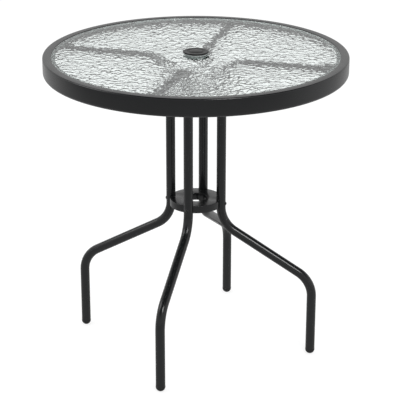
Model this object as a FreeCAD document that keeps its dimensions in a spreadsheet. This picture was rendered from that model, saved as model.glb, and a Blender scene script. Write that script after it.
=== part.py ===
import FreeCAD, Part
import Sketcher
import math
import os
import re

# Umbrella table: a round glass top in a steel rim, carried by four bent tube legs.
# Millimetres, +Z up, the floor at z = 0 and the table's axis on Z. The legs point
# along +X, +Y, -X and -Y. Every leg, bracket, cap and plug is drawn in the XZ plane,
# reaching out along +X, and turned about Z into its place.

SIZES = {
    # overall
    "table_height": 720.0,
    "rim_radius": 350.0,
    # rim: one roll-formed sheet, its glass ledge, top face, skirt and bottom lip
    "rim_sheet": 1.2,
    "rim_depth": 42.0,
    "rim_face_width": 20.0,
    "rim_top_rounding": 3.0,
    "rim_inner_rounding": 2.0,
    "rim_bottom_rounding": 7.8,
    "rim_lip_width": 12.0,
    "ledge_width": 9.0,
    # glass and the strip round it
    "glass_thickness": 5.0,
    "glass_recess": 1.0,
    "glass_edge_chamfer": 0.8,
    "gasket_thickness": 1.0,
    "gasket_clearance": 0.15,
    "gasket_foot_width": 8.0,
    # collar in the middle of the glass
    "pole_bore_radius": 18.0,
    "sleeve_wall": 5.0,
    "sleeve_length": 20.0,
    "collar_hole_clearance": 1.0,
    "flange_radius": 30.0,
    "flange_thickness": 2.8,
    "flange_rounding": 1.2,
    "cap_seat_depth": 2.2,
    "cap_seat_step": 1.8,
    "cap_socket_step": 0.5,
    "cap_socket_gap": 1.0,
    "collar_washer_height": 4.2,
    "collar_washer_radius": 27.5,
    "thread_clearance": 0.1,
    "lock_ring_radius": 27.5,
    "lock_ring_height": 6.0,
    "lock_ring_grip_radius": 3.0,
    "lock_ring_grip_setback": 0.8,
    "lock_ring_grips": 8,
    # cap that closes the collar
    "cap_clearance": 0.3,
    "cap_seat_gap": 0.1,
    "cap_crown": 0.6,
    "cap_plug_length": 11.0,
    "cap_wall": 1.6,
    # legs
    "tube_radius": 11.0,
    "tube_wall": 1.2,
    "bend_radius": 66.0,
    "column_circle_radius": 61.9,
    "foot_circle_radius": 285.2,
    "upper_knee_height": 312.2,
    "lower_knee_height": 187.3,
    "arm_end_gap": 8.8,
    # feet and arm plugs
    "foot_lip": 0.3,
    "foot_dome_height": 10.0,
    "foot_flat_radius": 4.0,
    "foot_rim_height": 1.5,
    "foot_plug_length": 20.0,
    "plug_clearance": 0.1,
    "plug_bevel": 1.0,
    "arm_plug_head": 2.0,
    "arm_plug_length": 14.0,
    # angles welded in the rim
    "bracket_sheet": 3.0,
    "bracket_width": 30.0,
    "bracket_drop": 22.0,
    "bracket_reach": 48.0,
    "bracket_skirt_gap": 0.6,
    # ring plate that ties the columns
    "ring_top_height": 368.9,
    "ring_height": 17.3,
    "ring_sheet": 1.5,
    "ring_edge_inset": 0.2,
    "ring_bore_radius": 26.5,
    "ring_recess_clearance": 0.15,
    "ring_edge_rounding": 1.0,
    # fasteners
    "bolt_hole_clearance": 0.25,
    "ring_bolt_radius": 2.5,
    "ring_bolt_head_radius": 4.3,
    "ring_bolt_head_height": 2.4,
    "ring_bolt_overhang": 1.5,
    "ring_bolt_key_flats": 3.0,
    "ring_bolt_key_depth": 1.3,
    "ring_nut_flats": 8.0,
    "ring_nut_height": 4.0,
    "rim_bolt_radius": 3.0,
    "rim_bolt_circle_inset": 38.0,
    "rim_bolt_head_radius": 5.4,
    "rim_bolt_head_height": 3.3,
    "rim_bolt_key_flats": 4.0,
    "rim_bolt_key_depth": 1.9,
    "rim_bolt_overhang": 0.8,
}

# Lengths that follow from the driving ones, each written with the names above.
FOLLOWS = {
    "rim_bottom_z": "table_height - rim_depth",
    "rim_inner_radius": "rim_radius - rim_face_width",
    "glass_top_z": "table_height - glass_recess",
    "glass_bottom_z": "glass_top_z - glass_thickness",
    "ledge_top_z": "glass_bottom_z - gasket_thickness",
    "ledge_bottom_z": "ledge_top_z - rim_sheet",
    "ledge_radius": "rim_inner_radius - ledge_width",
    "gasket_outer_radius": "rim_inner_radius - gasket_clearance",
    "gasket_inner_radius": "gasket_outer_radius - gasket_thickness",
    "gasket_foot_radius": "gasket_outer_radius - gasket_foot_width",
    "glass_radius": "gasket_inner_radius - gasket_clearance",
    "sleeve_radius": "pole_bore_radius + sleeve_wall",
    "glass_hole_radius": "sleeve_radius + collar_hole_clearance",
    "washer_bore_radius": "sleeve_radius + thread_clearance",
    "flange_bottom_z": "glass_top_z + collar_washer_height",
    "flange_top_z": "flange_bottom_z + flange_thickness",
    "cap_seat_z": "flange_top_z - cap_seat_depth",
    "cap_seat_radius": "pole_bore_radius + cap_seat_step",
    "sleeve_bottom_z": "flange_bottom_z - sleeve_length",
    "cap_socket_radius": "pole_bore_radius + cap_socket_step",
    "cap_plug_radius": "cap_socket_radius - cap_clearance",
    "cap_head_radius": "cap_seat_radius - cap_clearance",
    "cap_head_z": "cap_seat_z + cap_seat_gap",
    "cap_plug_z": "cap_head_z - cap_plug_length",
    "cap_socket_z": "cap_plug_z - cap_socket_gap",
    "tube_bore_radius": "tube_radius - tube_wall",
    "bracket_top_z": "ledge_bottom_z",
    "bracket_under_z": "bracket_top_z - bracket_sheet",
    "bracket_skirt_radius": "rim_radius - rim_sheet - bracket_skirt_gap",
    "bracket_toe_radius": "bracket_skirt_radius - bracket_reach",
    "arm_axis_z": "bracket_under_z - tube_radius",
    "arm_end_radius": "rim_radius - rim_sheet - arm_end_gap",
    "tube_foot_z": "foot_dome_height + foot_rim_height",
    "foot_radius": "tube_radius + foot_lip",
    "plug_radius": "tube_bore_radius - plug_clearance",
    "ring_bottom_z": "ring_top_height - ring_height",
    "ring_bolt_z": "ring_top_height - ring_height / 2",
    "ring_radius": "column_circle_radius - ring_edge_inset",
    "ring_recess_radius": "tube_radius + ring_recess_clearance",
    "ring_bolt_hole_radius": "ring_bolt_radius + bolt_hole_clearance",
    "column_outer_radius": "column_circle_radius + tube_radius",
    "ring_nut_seat_radius": "column_circle_radius - ring_recess_radius - ring_sheet",
    "ring_bolt_end_radius": "ring_nut_seat_radius - ring_nut_height - ring_bolt_overhang",
    "rim_bolt_circle_radius": "rim_radius - rim_bolt_circle_inset",
    "rim_bolt_hole_radius": "rim_bolt_radius + bolt_hole_clearance",
    "rim_bolt_head_z": "arm_axis_z - tube_radius",
    "rim_bolt_end_z": "bracket_top_z + rim_bolt_overhang",
}

SIDES = (("right", 0), ("back", 90), ("left", 180), ("front", 270))

AXIS_LINE = 10.0      # drawn length of a turned part's own axis
SAME_POINT = 1e-6     # points closer than this are one point
SAME_SIZE = 1e-3      # sizes closer than this are one size

doc = FreeCAD.newDocument("UmbrellaTable")
sheet = doc.addObject("Spreadsheet::Sheet", "Sizes")
for row, (alias, amount) in enumerate(SIZES.items(), start=1):
    sheet.set(f"A{row}", alias)
    sheet.set(f"B{row}", str(amount))
    sheet.setAlias(f"B{row}", alias)
doc.recompute()


def bound(text):
    """The expression with every name written as cells of the sheet."""
    def cell(found):
        word = found.group()
        if word in FOLLOWS:
            return f"({bound(FOLLOWS[word])})"
        return f"Sizes.{word}" if word in SIZES else word
    return re.sub(r"[a-z]\w*", cell, text)


def number(text):
    """What an expression comes to, for a sketch's first drawing."""
    return float(sheet.evalExpression(bound(text)))


# Bodies, sketches and features

def new_body(label, angle=0):
    body = doc.addObject("PartDesign::Body", label)
    body.Label = label
    turn = FreeCAD.Rotation(FreeCAD.Vector(0, 0, 1), angle)
    body.Placement = FreeCAD.Placement(FreeCAD.Vector(0, 0, 0), turn)
    return body


def new_sketch(body, plane, name, height=None):
    """A sketch on one of the body's own planes, lifted by an expression if one is given."""
    sketch = body.newObject("Sketcher::SketchObject", f"{body.Label}_{name}")
    role = next(item for item in body.Origin.OriginFeatures if item.Role == plane)
    sketch.AttachmentSupport = [(role, "")]
    sketch.MapMode = "FlatFace"
    if height is not None:
        sketch.setExpression("AttachmentOffset.Base.z", bound(height))
    return sketch


def pin(sketch, geometry, end, across, up):
    """Fix a point at its two coordinates; "0" puts it on the sketch's own axis."""
    for kind, text, axis in (("DistanceX", across, -2), ("DistanceY", up, -1)):
        if text == "0":
            sketch.addConstraint(Sketcher.Constraint("PointOnObject", geometry, end, axis))
        else:
            rule = Sketcher.Constraint(kind, -1, 1, geometry, end, number(text))
            place = sketch.addConstraint(rule)
            sketch.setExpression(f"Constraints[{place}]", bound(text))


def size(sketch, rule, text):
    place = sketch.addConstraint(rule)
    sketch.setExpression(f"Constraints[{place}]", bound(text))


def circle(sketch, across, up, radius):
    middle = FreeCAD.Vector(number(across), number(up), 0)
    ring = Part.Circle(middle, FreeCAD.Vector(0, 0, 1), number(radius))
    geometry = sketch.addGeometry(ring, False)
    pin(sketch, geometry, 3, across, up)
    size(sketch, Sketcher.Constraint("Radius", geometry, number(radius)), radius)
    return geometry


def polygon(sketch, corners):
    points = [FreeCAD.Vector(number(across), number(up), 0) for across, up in corners]
    first = sketch.GeometryCount
    count = len(points)
    for index, point in enumerate(points):
        sketch.addGeometry(Part.LineSegment(point, points[(index + 1) % count]), False)
    for index in range(count):
        after = first + (index + 1) % count
        sketch.addConstraint(Sketcher.Constraint("Coincident", first + index, 2, after, 1))
    for index, (across, up) in enumerate(corners):
        pin(sketch, first + index, 1, across, up)


def hexagon(sketch, across, up, flats):
    """A regular hexagon with two flats level, held by the circle round its corners."""
    corner_radius = f"{flats} / sqrt(3)"
    middle = FreeCAD.Vector(number(across), number(up), 0)
    reach = number(corner_radius)
    round_corners = circle(sketch, across, up, corner_radius)
    sketch.setConstruction(round_corners, True)
    points = []
    for step in range(6):
        angle = math.radians(60 * step)
        points.append(middle + FreeCAD.Vector(math.cos(angle), math.sin(angle), 0) * reach)
    first = sketch.GeometryCount
    for step in range(6):
        sketch.addGeometry(Part.LineSegment(points[step], points[(step + 1) % 6]), False)
    for step in range(6):
        after = first + (step + 1) % 6
        sketch.addConstraint(Sketcher.Constraint("Coincident", first + step, 2, after, 1))
        rule = Sketcher.Constraint("PointOnObject", first + step, 1, round_corners)
        sketch.addConstraint(rule)
        if step:
            sketch.addConstraint(Sketcher.Constraint("Equal", first, first + step))
    sketch.addConstraint(Sketcher.Constraint("Horizontal", first + 1))


def turned(body, name, profile, axis=None, domes=()):
    """A solid of revolution. profile lists (radius, along) pairs. axis is None for Z,
    ("x", place) for an upright line and ("y", place) for a level one. domes lists
    the edges that are arcs with their centre on the axis."""
    sketch = new_sketch(body, "XZ_Plane", f"{name}_profile")
    line, reference = -2, "V_Axis"
    if axis is not None:
        way, place = axis
        low = ("0", place) if way == "y" else (place, "0")
        far = FreeCAD.Vector(number(low[0]), number(low[1]), 0)
        run = FreeCAD.Vector(AXIS_LINE, 0, 0) if way == "y" else FreeCAD.Vector(0, AXIS_LINE, 0)
        line = sketch.addGeometry(Part.LineSegment(far, far + run), True)
        pin(sketch, line, 1, *low)
        sketch.addConstraint(Sketcher.Constraint("Horizontal" if way == "y" else "Vertical", line))
        sketch.addConstraint(Sketcher.Constraint("Distance", line, AXIS_LINE))
        reference = "Axis0"

    def spot(radius, along):
        if axis is None:
            return radius, along
        shift = axis[1] if radius == "0" else f"{axis[1]} + {radius}"
        return (along, shift) if axis[0] == "y" else (shift, along)

    corners = [spot(*pair) for pair in profile]
    points = [FreeCAD.Vector(number(across), number(up), 0) for across, up in corners]
    first = sketch.GeometryCount
    count = len(points)
    for index, start in enumerate(points):
        end = points[(index + 1) % count]
        if index in domes:
            centre = arc_centre(start, end, axis)
            sketch.addGeometry(arc_between(start, end, centre), False)
        else:
            sketch.addGeometry(Part.LineSegment(start, end), False)
    ends = []
    for index, start in enumerate(points):
        piece = sketch.Geometry[first + index]
        forward = (piece.StartPoint - start).Length < SAME_POINT
        ends.append((1, 2) if forward else (2, 1))
    for index in range(count):
        after = (index + 1) % count
        rule = ("Coincident", first + index, ends[index][1], first + after, ends[after][0])
        sketch.addConstraint(Sketcher.Constraint(*rule))
    for index, (across, up) in enumerate(corners):
        pin(sketch, first + index, ends[index][0], across, up)
    for index in domes:
        rule = Sketcher.Constraint("PointOnObject", first + index, 3, line)
        sketch.addConstraint(rule)
    solid = body.newObject("PartDesign::Revolution", f"{body.Label}_{name}")
    solid.Profile = sketch
    solid.ReferenceAxis = (sketch, [reference])
    solid.Angle = 360
    doc.recompute()
    return solid


def arc_centre(start, end, axis):
    """The point on the axis that is as far from start as from end."""
    level = axis is not None and axis[0] == "y"
    base = number(axis[1]) if axis is not None else 0.0
    if level:
        start_along, start_off = start.x, start.y - base
        end_along, end_off = end.x, end.y - base
    else:
        start_along, start_off = start.y, start.x - base
        end_along, end_off = end.y, end.x - base
    gap = end_along**2 + end_off**2 - start_along**2 - start_off**2
    along = gap / (2 * (end_along - start_along))
    return FreeCAD.Vector(along, base, 0) if level else FreeCAD.Vector(base, along, 0)


def arc_between(start, end, centre):
    """The shorter arc about centre, drawn anticlockwise as sketches want it."""
    radius = (start - centre).Length
    first = math.atan2(start.y - centre.y, start.x - centre.x)
    last = math.atan2(end.y - centre.y, end.x - centre.x)
    if (last - first) % (2 * math.pi) > math.pi:
        first, last = last, first
    ring = Part.Circle(centre, FreeCAD.Vector(0, 0, 1), radius)
    return Part.ArcOfCircle(ring, first, last)


def pad(body, sketch, name, length, both_ways=False):
    solid = body.newObject("PartDesign::Pad", f"{body.Label}_{name}")
    solid.Profile = sketch
    solid.setExpression("Length", bound(length))
    if both_ways:
        solid.SideType = "Symmetric"
    doc.recompute()
    return solid


def pocket(body, sketch, name, depth=None, reverse=False):
    """Cut along the sketch's normal, right through unless a depth is given."""
    before = body.Tip.Shape.Volume
    cut = body.newObject("PartDesign::Pocket", f"{body.Label}_{name}")
    cut.Profile = sketch
    cut.Reversed = reverse
    if depth is None:
        cut.Type = "ThroughAll"
    else:
        cut.setExpression("Length", bound(depth))
    doc.recompute()
    if not cut.Shape.Volume < before - SAME_SIZE:
        raise RuntimeError(f"{cut.Name} cuts nothing")
    return cut


def four_times(body, originals):
    """Repeat features about Z, once for each leg."""
    return round_pattern(body, originals, str(len(SIDES)))


def round_pattern(body, originals, count):
    pattern = body.newObject("PartDesign::PolarPattern", f"{body.Label}_pattern")
    pattern.Originals = originals
    axis = next(item for item in body.Origin.OriginFeatures if item.Role == "Z_Axis")
    pattern.Axis = (axis, [""])
    pattern.Angle = 360
    pattern.setExpression("Occurrences", bound(count))
    body.Tip = pattern
    doc.recompute()
    return pattern


def circle_edges(shape, radius, height):
    """Names of the level circles about Z with this radius at this height."""
    names = []
    for index, edge in enumerate(shape.Edges, start=1):
        curve = edge.Curve
        if not isinstance(curve, Part.Circle) or 1 - abs(curve.Axis.z) > SAME_SIZE:
            continue
        centred = math.hypot(curve.Center.x, curve.Center.y) < SAME_SIZE
        right = abs(curve.Radius - number(radius)) < SAME_SIZE
        if centred and right and abs(curve.Center.z - number(height)) < SAME_SIZE:
            names.append(f"Edge{index}")
    return names


def dress(body, kind, name, amount, circles):
    """Fillet or chamfer the named circles of the body's last feature."""
    base = body.Tip
    edges = [edge for radius, height in circles for edge in circle_edges(base.Shape, radius, height)]
    if not edges:
        raise RuntimeError(f"{body.Label}: no edges for {name}")
    feature = body.newObject(f"PartDesign::{kind}", f"{body.Label}_{name}")
    feature.Base = (base, edges)
    feature.setExpression("Radius" if kind == "Fillet" else "Size", bound(amount))
    doc.recompute()
    return feature


# Table top

def rim_frame():
    """One sheet: ledge, inner leg, top face, skirt and the lip rolled in at the bottom."""
    body = new_body("rim_frame")
    inside = "rim_inner_radius + rim_sheet"
    outside = "rim_radius - rim_sheet"
    ceiling = "table_height - rim_sheet"
    floor = "rim_bottom_z + rim_sheet"
    lip = "rim_radius - rim_lip_width"
    turned(body, "band", [
        ("ledge_radius", "ledge_bottom_z"),
        (inside, "ledge_bottom_z"),
        (inside, ceiling),
        (outside, ceiling),
        (outside, floor),
        (lip, floor),
        (lip, "rim_bottom_z"),
        ("rim_radius", "rim_bottom_z"),
        ("rim_radius", "table_height"),
        ("rim_inner_radius", "table_height"),
        ("rim_inner_radius", "ledge_top_z"),
        ("ledge_radius", "ledge_top_z"),
    ])
    dress(body, "Fillet", "top_outside", "rim_top_rounding", [("rim_radius", "table_height")])
    dress(body, "Fillet", "top_inside", "rim_top_rounding - rim_sheet", [(outside, ceiling)])
    dress(body, "Fillet", "bottom_outside", "rim_bottom_rounding", [("rim_radius", "rim_bottom_z")])
    dress(body, "Fillet", "bottom_inside", "rim_bottom_rounding - rim_sheet", [(outside, floor)])
    dress(body, "Fillet", "inner_edge", "rim_inner_rounding", [("rim_inner_radius", "table_height")])
    dress(body, "Fillet", "inner_fold", "rim_inner_rounding - rim_sheet", [(inside, ceiling)])
    dress(body, "Fillet", "ledge_fold", "rim_inner_rounding", [(inside, "ledge_bottom_z")])
    return body


def glass_top():
    body = new_body("glass_top")
    sketch = new_sketch(body, "XY_Plane", "outline", "glass_bottom_z")
    circle(sketch, "0", "0", "glass_radius")
    circle(sketch, "0", "0", "glass_hole_radius")
    pad(body, sketch, "pane", "glass_thickness")
    edges = [(radius, height) for radius in ("glass_radius", "glass_hole_radius")
             for height in ("glass_top_z", "glass_bottom_z")]
    dress(body, "Chamfer", "arris", "glass_edge_chamfer", edges)
    return body


def glass_gasket():
    """An angle strip: its foot lies on the ledge, its upright stands round the glass."""
    body = new_body("glass_gasket")
    turned(body, "strip", [
        ("gasket_foot_radius", "ledge_top_z"),
        ("gasket_outer_radius", "ledge_top_z"),
        ("gasket_outer_radius", "glass_top_z"),
        ("gasket_inner_radius", "glass_top_z"),
        ("gasket_inner_radius", "glass_bottom_z"),
        ("gasket_foot_radius", "glass_bottom_z"),
    ])
    return body


def umbrella_collar():
    """A flanged sleeve. Its bore guides the pole and widens above into the cap's socket."""
    body = new_body("umbrella_collar")
    turned(body, "sleeve", [
        ("pole_bore_radius", "sleeve_bottom_z"),
        ("sleeve_radius", "sleeve_bottom_z"),
        ("sleeve_radius", "flange_bottom_z"),
        ("flange_radius", "flange_bottom_z"),
        ("flange_radius", "flange_top_z"),
        ("cap_seat_radius", "flange_top_z"),
        ("cap_seat_radius", "cap_seat_z"),
        ("cap_socket_radius", "cap_seat_z"),
        ("cap_socket_radius", "cap_socket_z"),
        ("pole_bore_radius", "cap_socket_z"),
    ])
    dress(body, "Fillet", "flange_edge", "flange_rounding", [("flange_radius", "flange_top_z")])
    return body


def collar_washer():
    body = new_body("collar_washer")
    sketch = new_sketch(body, "XY_Plane", "outline", "glass_top_z")
    circle(sketch, "0", "0", "collar_washer_radius")
    circle(sketch, "0", "0", "washer_bore_radius")
    pad(body, sketch, "disc", "collar_washer_height")
    return body


def collar_lock_ring():
    """Screwed up the sleeve against the glass, with finger grips round its edge."""
    body = new_body("collar_lock_ring")
    sketch = new_sketch(body, "XY_Plane", "outline", "glass_bottom_z - lock_ring_height")
    circle(sketch, "0", "0", "lock_ring_radius")
    circle(sketch, "0", "0", "washer_bore_radius")
    pad(body, sketch, "ring", "lock_ring_height")
    grip = new_sketch(body, "XY_Plane", "grip")
    circle(grip, "lock_ring_radius + lock_ring_grip_setback", "0", "lock_ring_grip_radius")
    cut = pocket(body, grip, "grip_cut", reverse=True)
    round_pattern(body, [cut], "lock_ring_grips")
    return body


def collar_cap():
    """A hollow plug with a head that sits in the collar's seat, slightly crowned."""
    body = new_body("collar_cap")
    bore = "cap_plug_radius - cap_wall"
    turned(body, "plug", [
        ("0", "flange_top_z + cap_crown"),
        ("cap_head_radius", "flange_top_z"),
        ("cap_head_radius", "cap_head_z"),
        ("cap_plug_radius", "cap_head_z"),
        ("cap_plug_radius", "cap_plug_z"),
        (bore, "cap_plug_z"),
        (bore, "flange_top_z - cap_wall"),
        ("0", "flange_top_z - cap_wall"),
    ], domes=(0,))
    return body


def rim_bracket(side, angle):
    """An angle: its top lies under the ledge and takes the arm's bolt, its back
    stands along the skirt."""
    body = new_body(f"rim_bracket_{side}", angle)
    sketch = new_sketch(body, "XZ_Plane", "outline")
    back = "bracket_skirt_radius - bracket_sheet"
    polygon(sketch, [
        ("bracket_toe_radius", "bracket_under_z"),
        (back, "bracket_under_z"),
        (back, "bracket_top_z - bracket_drop"),
        ("bracket_skirt_radius", "bracket_top_z - bracket_drop"),
        ("bracket_skirt_radius", "bracket_top_z"),
        ("bracket_toe_radius", "bracket_top_z"),
    ])
    pad(body, sketch, "angle", "bracket_width", both_ways=True)
    hole = new_sketch(body, "XY_Plane", "thread")
    circle(hole, "rim_bolt_circle_radius", "0", "rim_bolt_radius + thread_clearance")
    pocket(body, hole, "thread_cut", reverse=True)
    return body


# Legs

def tube_path(sketch, corners, radius):
    """A run of straights joined by tangent arcs. The corners are where the straights
    would meet, and the first and last are the path's ends."""
    spots = [FreeCAD.Vector(number(across), number(up), 0) for across, up in corners]
    reach = number(radius)
    arcs = []
    for before, corner, after in zip(spots, spots[1:], spots[2:]):
        come = (corner - before).normalize()
        leave = (after - corner).normalize()
        turn = come.getAngle(leave)
        setback = reach * math.tan(turn / 2)
        middle = (leave - come).normalize() * (reach / math.cos(turn / 2))
        arcs.append((corner - come * setback, corner + leave * setback, corner + middle))
    starts = [spots[0]] + [arc[1] for arc in arcs]
    ends = [arc[0] for arc in arcs] + [spots[-1]]
    lines = [sketch.addGeometry(Part.LineSegment(*pair), False) for pair in zip(starts, ends)]
    for index, (start, end, centre) in enumerate(arcs):
        bend = sketch.addGeometry(arc_between(start, end, centre), False)
        forward = (sketch.Geometry[bend].StartPoint - start).Length < SAME_POINT
        enter, leave = (1, 2) if forward else (2, 1)
        line, after = lines[index], lines[index + 1]
        sketch.addConstraint(Sketcher.Constraint("Tangent", line, 2, bend, enter))
        sketch.addConstraint(Sketcher.Constraint("Tangent", bend, leave, after, 1))
        size(sketch, Sketcher.Constraint("Radius", bend, reach), radius)
        knee = sketch.addGeometry(Part.Point(spots[index + 1]), True)
        pin(sketch, knee, 1, *corners[index + 1])
        sketch.addConstraint(Sketcher.Constraint("PointOnObject", knee, 1, line))
        sketch.addConstraint(Sketcher.Constraint("PointOnObject", knee, 1, after))
    pin(sketch, lines[0], 1, *corners[0])
    pin(sketch, lines[-1], 2, *corners[-1])


def leg(side, angle):
    """One tube: foot, slope, column and arm, drilled for its two bolts."""
    body = new_body(f"leg_{side}", angle)
    path = new_sketch(body, "XZ_Plane", "path")
    tube_path(path, [
        ("foot_circle_radius", "tube_foot_z"),
        ("foot_circle_radius", "lower_knee_height"),
        ("column_circle_radius", "upper_knee_height"),
        ("column_circle_radius", "arm_axis_z"),
        ("arm_end_radius", "arm_axis_z"),
    ], "bend_radius")
    section = new_sketch(body, "XY_Plane", "section", "tube_foot_z")
    circle(section, "foot_circle_radius", "0", "tube_radius")
    circle(section, "foot_circle_radius", "0", "tube_bore_radius")
    doc.recompute()
    tube = body.newObject("PartDesign::AdditivePipe", f"{body.Label}_tube")
    tube.Profile = section
    tube.Spine = (path, [])
    doc.recompute()
    length = path.Shape.Length
    area = math.pi * (number("tube_radius") ** 2 - number("tube_bore_radius") ** 2)
    if abs(tube.Shape.Volume / (area * length) - 1) > SAME_SIZE:
        raise RuntimeError(f"{body.Label}: the tube's volume is off")
    ring_hole = new_sketch(body, "YZ_Plane", "ring_bolt_hole")
    circle(ring_hole, "0", "ring_bolt_z", "ring_bolt_hole_radius")
    pocket(body, ring_hole, "ring_bolt_cut", reverse=True)
    rim_hole = new_sketch(body, "XY_Plane", "rim_bolt_hole")
    circle(rim_hole, "rim_bolt_circle_radius", "0", "rim_bolt_hole_radius")
    pocket(body, rim_hole, "rim_bolt_cut", reverse=True)
    return body


def foot_cap(side, angle):
    """A domed foot with a flat to stand on and a plug that fills the tube's end."""
    body = new_body(f"foot_cap_{side}", angle)
    plug_top = "tube_foot_z + foot_plug_length"
    turned(body, "foot", [
        ("0", "0"),
        ("foot_flat_radius", "0"),
        ("foot_radius", "foot_dome_height"),
        ("foot_radius", "tube_foot_z"),
        ("plug_radius", "tube_foot_z"),
        ("plug_radius", f"{plug_top} - plug_bevel"),
        ("plug_radius - plug_bevel", plug_top),
        ("0", plug_top),
    ], axis=("x", "foot_circle_radius"), domes=(1,))
    return body


def arm_plug(side, angle):
    body = new_body(f"arm_plug_{side}", angle)
    plug_end = "arm_end_radius - arm_plug_length"
    turned(body, "plug", [
        ("0", plug_end),
        ("plug_radius - plug_bevel", plug_end),
        ("plug_radius", f"{plug_end} + plug_bevel"),
        ("plug_radius", "arm_end_radius"),
        ("tube_radius", "arm_end_radius"),
        ("tube_radius", "arm_end_radius + arm_plug_head"),
        ("0", "arm_end_radius + arm_plug_head"),
    ], axis=("y", "arm_axis_z"))
    return body


# Ring plate and fasteners

def centre_ring():
    """A stamped plate with a rolled bore and four half-round recesses for the columns,
    hollow from below."""
    body = new_body("centre_ring")
    sketch = new_sketch(body, "XY_Plane", "outline", "ring_bottom_z")
    circle(sketch, "0", "0", "ring_radius")
    circle(sketch, "0", "0", "ring_bore_radius")
    pad(body, sketch, "plate", "ring_height")
    dress(body, "Fillet", "edge", "ring_edge_rounding", [("ring_radius", "ring_top_height")])
    recess = new_sketch(body, "XY_Plane", "recess")
    circle(recess, "column_circle_radius", "0", "ring_recess_radius")
    cut = pocket(body, recess, "recess_cut", reverse=True)
    solid = four_times(body, [cut])
    under = [f"Face{index}" for index, face in enumerate(solid.Shape.Faces, start=1)
             if abs(face.BoundBox.ZMax - number("ring_bottom_z")) < SAME_POINT]
    shell = body.newObject("PartDesign::Thickness", f"{body.Label}_shell")
    shell.Base = (solid, under)
    shell.setExpression("Value", bound("ring_sheet"))
    shell.Join = "Arc"
    shell.Intersection = True
    shell.Reversed = True
    doc.recompute()
    hole = new_sketch(body, "YZ_Plane", "bolt_hole", "ring_radius / 2")
    circle(hole, "0", "ring_bolt_z", "ring_bolt_hole_radius")
    drilled = pocket(body, hole, "bolt_cut", reverse=True)
    four_times(body, [drilled])
    return body


def key_recess(body, sketch, flats, depth, reverse):
    """A hexagon sunk into a bolt's head."""
    hexagon(sketch, *flats)
    return pocket(body, sketch, "key", depth, reverse)


def ring_bolts():
    """Round-headed bolts through the columns, heads outside, threads in the nuts."""
    body = new_body("ring_bolts")
    head_top = "column_outer_radius + ring_bolt_head_height"
    shank = turned(body, "bolt", [
        ("0", "ring_bolt_end_radius"),
        ("ring_bolt_radius", "ring_bolt_end_radius"),
        ("ring_bolt_radius", "column_outer_radius"),
        ("ring_bolt_head_radius", "column_outer_radius"),
        ("0", head_top),
    ], axis=("y", "ring_bolt_z"), domes=(3,))
    key = new_sketch(body, "YZ_Plane", "key_outline", head_top)
    recess = key_recess(body, key, ("0", "ring_bolt_z", "ring_bolt_key_flats"),
                        "ring_bolt_key_depth", False)
    four_times(body, [shank, recess])
    return body


def ring_nuts():
    body = new_body("ring_nuts")
    sketch = new_sketch(body, "YZ_Plane", "outline", "ring_nut_seat_radius - ring_nut_height")
    hexagon(sketch, "0", "ring_bolt_z", "ring_nut_flats")
    circle(sketch, "0", "ring_bolt_z", "ring_bolt_radius + thread_clearance")
    nut = pad(body, sketch, "nut", "ring_nut_height")
    four_times(body, [nut])
    return body


def rim_bolts():
    """Round-headed bolts up through the arms into the brackets."""
    body = new_body("rim_bolts")
    head_bottom = "rim_bolt_head_z - rim_bolt_head_height"
    shank = turned(body, "bolt", [
        ("0", "rim_bolt_end_z"),
        ("rim_bolt_radius", "rim_bolt_end_z"),
        ("rim_bolt_radius", "rim_bolt_head_z"),
        ("rim_bolt_head_radius", "rim_bolt_head_z"),
        ("0", head_bottom),
    ], axis=("x", "rim_bolt_circle_radius"), domes=(3,))
    key = new_sketch(body, "XY_Plane", "key_outline", head_bottom)
    recess = key_recess(body, key, ("rim_bolt_circle_radius", "0", "rim_bolt_key_flats"),
                        "rim_bolt_key_depth", True)
    four_times(body, [shank, recess])
    return body


def check(parts):
    """Stop at a failed feature, an empty shape or a label used twice."""
    for item in doc.Objects:
        if {"Invalid", "Error"} & set(item.State):
            raise RuntimeError(f"{item.Name} is in state {item.State}")
        if item.TypeId == "Sketcher::SketchObject" and not item.FullyConstrained:
            raise RuntimeError(f"{item.Name} is not fully constrained")
    for part in parts:
        if part.Shape.isNull() or not part.Shape.isValid() or not part.Shape.Solids:
            raise RuntimeError(f"{part.Label} has no valid solid")
    if len({part.Label for part in parts}) != len(parts):
        raise RuntimeError("two parts share a label")


def main():
    parts = [
        rim_frame(),
        glass_top(),
        glass_gasket(),
        umbrella_collar(),
        collar_washer(),
        collar_lock_ring(),
        collar_cap(),
        centre_ring(),
        ring_bolts(),
        ring_nuts(),
        rim_bolts(),
    ]
    for side, angle in SIDES:
        for make in (rim_bracket, leg, foot_cap, arm_plug):
            parts.append(make(side, angle))
    doc.recompute()
    check(parts)
    os.makedirs("parts", exist_ok=True)
    for part in parts:
        part.Shape.exportStep(os.path.join("parts", f"{part.Label}.step"))
        print(f"{part.Label}: {len(part.Shape.Solids)} solid, {part.Shape.Volume:.0f} mm3")


main()
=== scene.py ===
"""Umbrella table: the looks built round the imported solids, laid out as an add-on."""
import math

import bmesh
import bpy
from bpy.props import FloatProperty, FloatVectorProperty, IntProperty, PointerProperty
from mathutils import Matrix, Vector, noise


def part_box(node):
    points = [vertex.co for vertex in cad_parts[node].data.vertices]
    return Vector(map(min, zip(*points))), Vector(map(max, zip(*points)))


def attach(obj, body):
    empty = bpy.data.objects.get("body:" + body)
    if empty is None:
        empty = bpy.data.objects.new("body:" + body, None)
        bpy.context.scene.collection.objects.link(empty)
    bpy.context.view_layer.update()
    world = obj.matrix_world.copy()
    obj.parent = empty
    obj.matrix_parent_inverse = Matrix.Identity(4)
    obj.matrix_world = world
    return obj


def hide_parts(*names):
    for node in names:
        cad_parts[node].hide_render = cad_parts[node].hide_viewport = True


bl_info = {
    "name": "Umbrella Table",
    "version": (1, 0, 0),
    "blender": (4, 5, 0),
    "location": "3D View > Sidebar > Table",
    "description": "Builds a round patio table with a rippled glass top and bent tube legs",
    "category": "Object",
}

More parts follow.
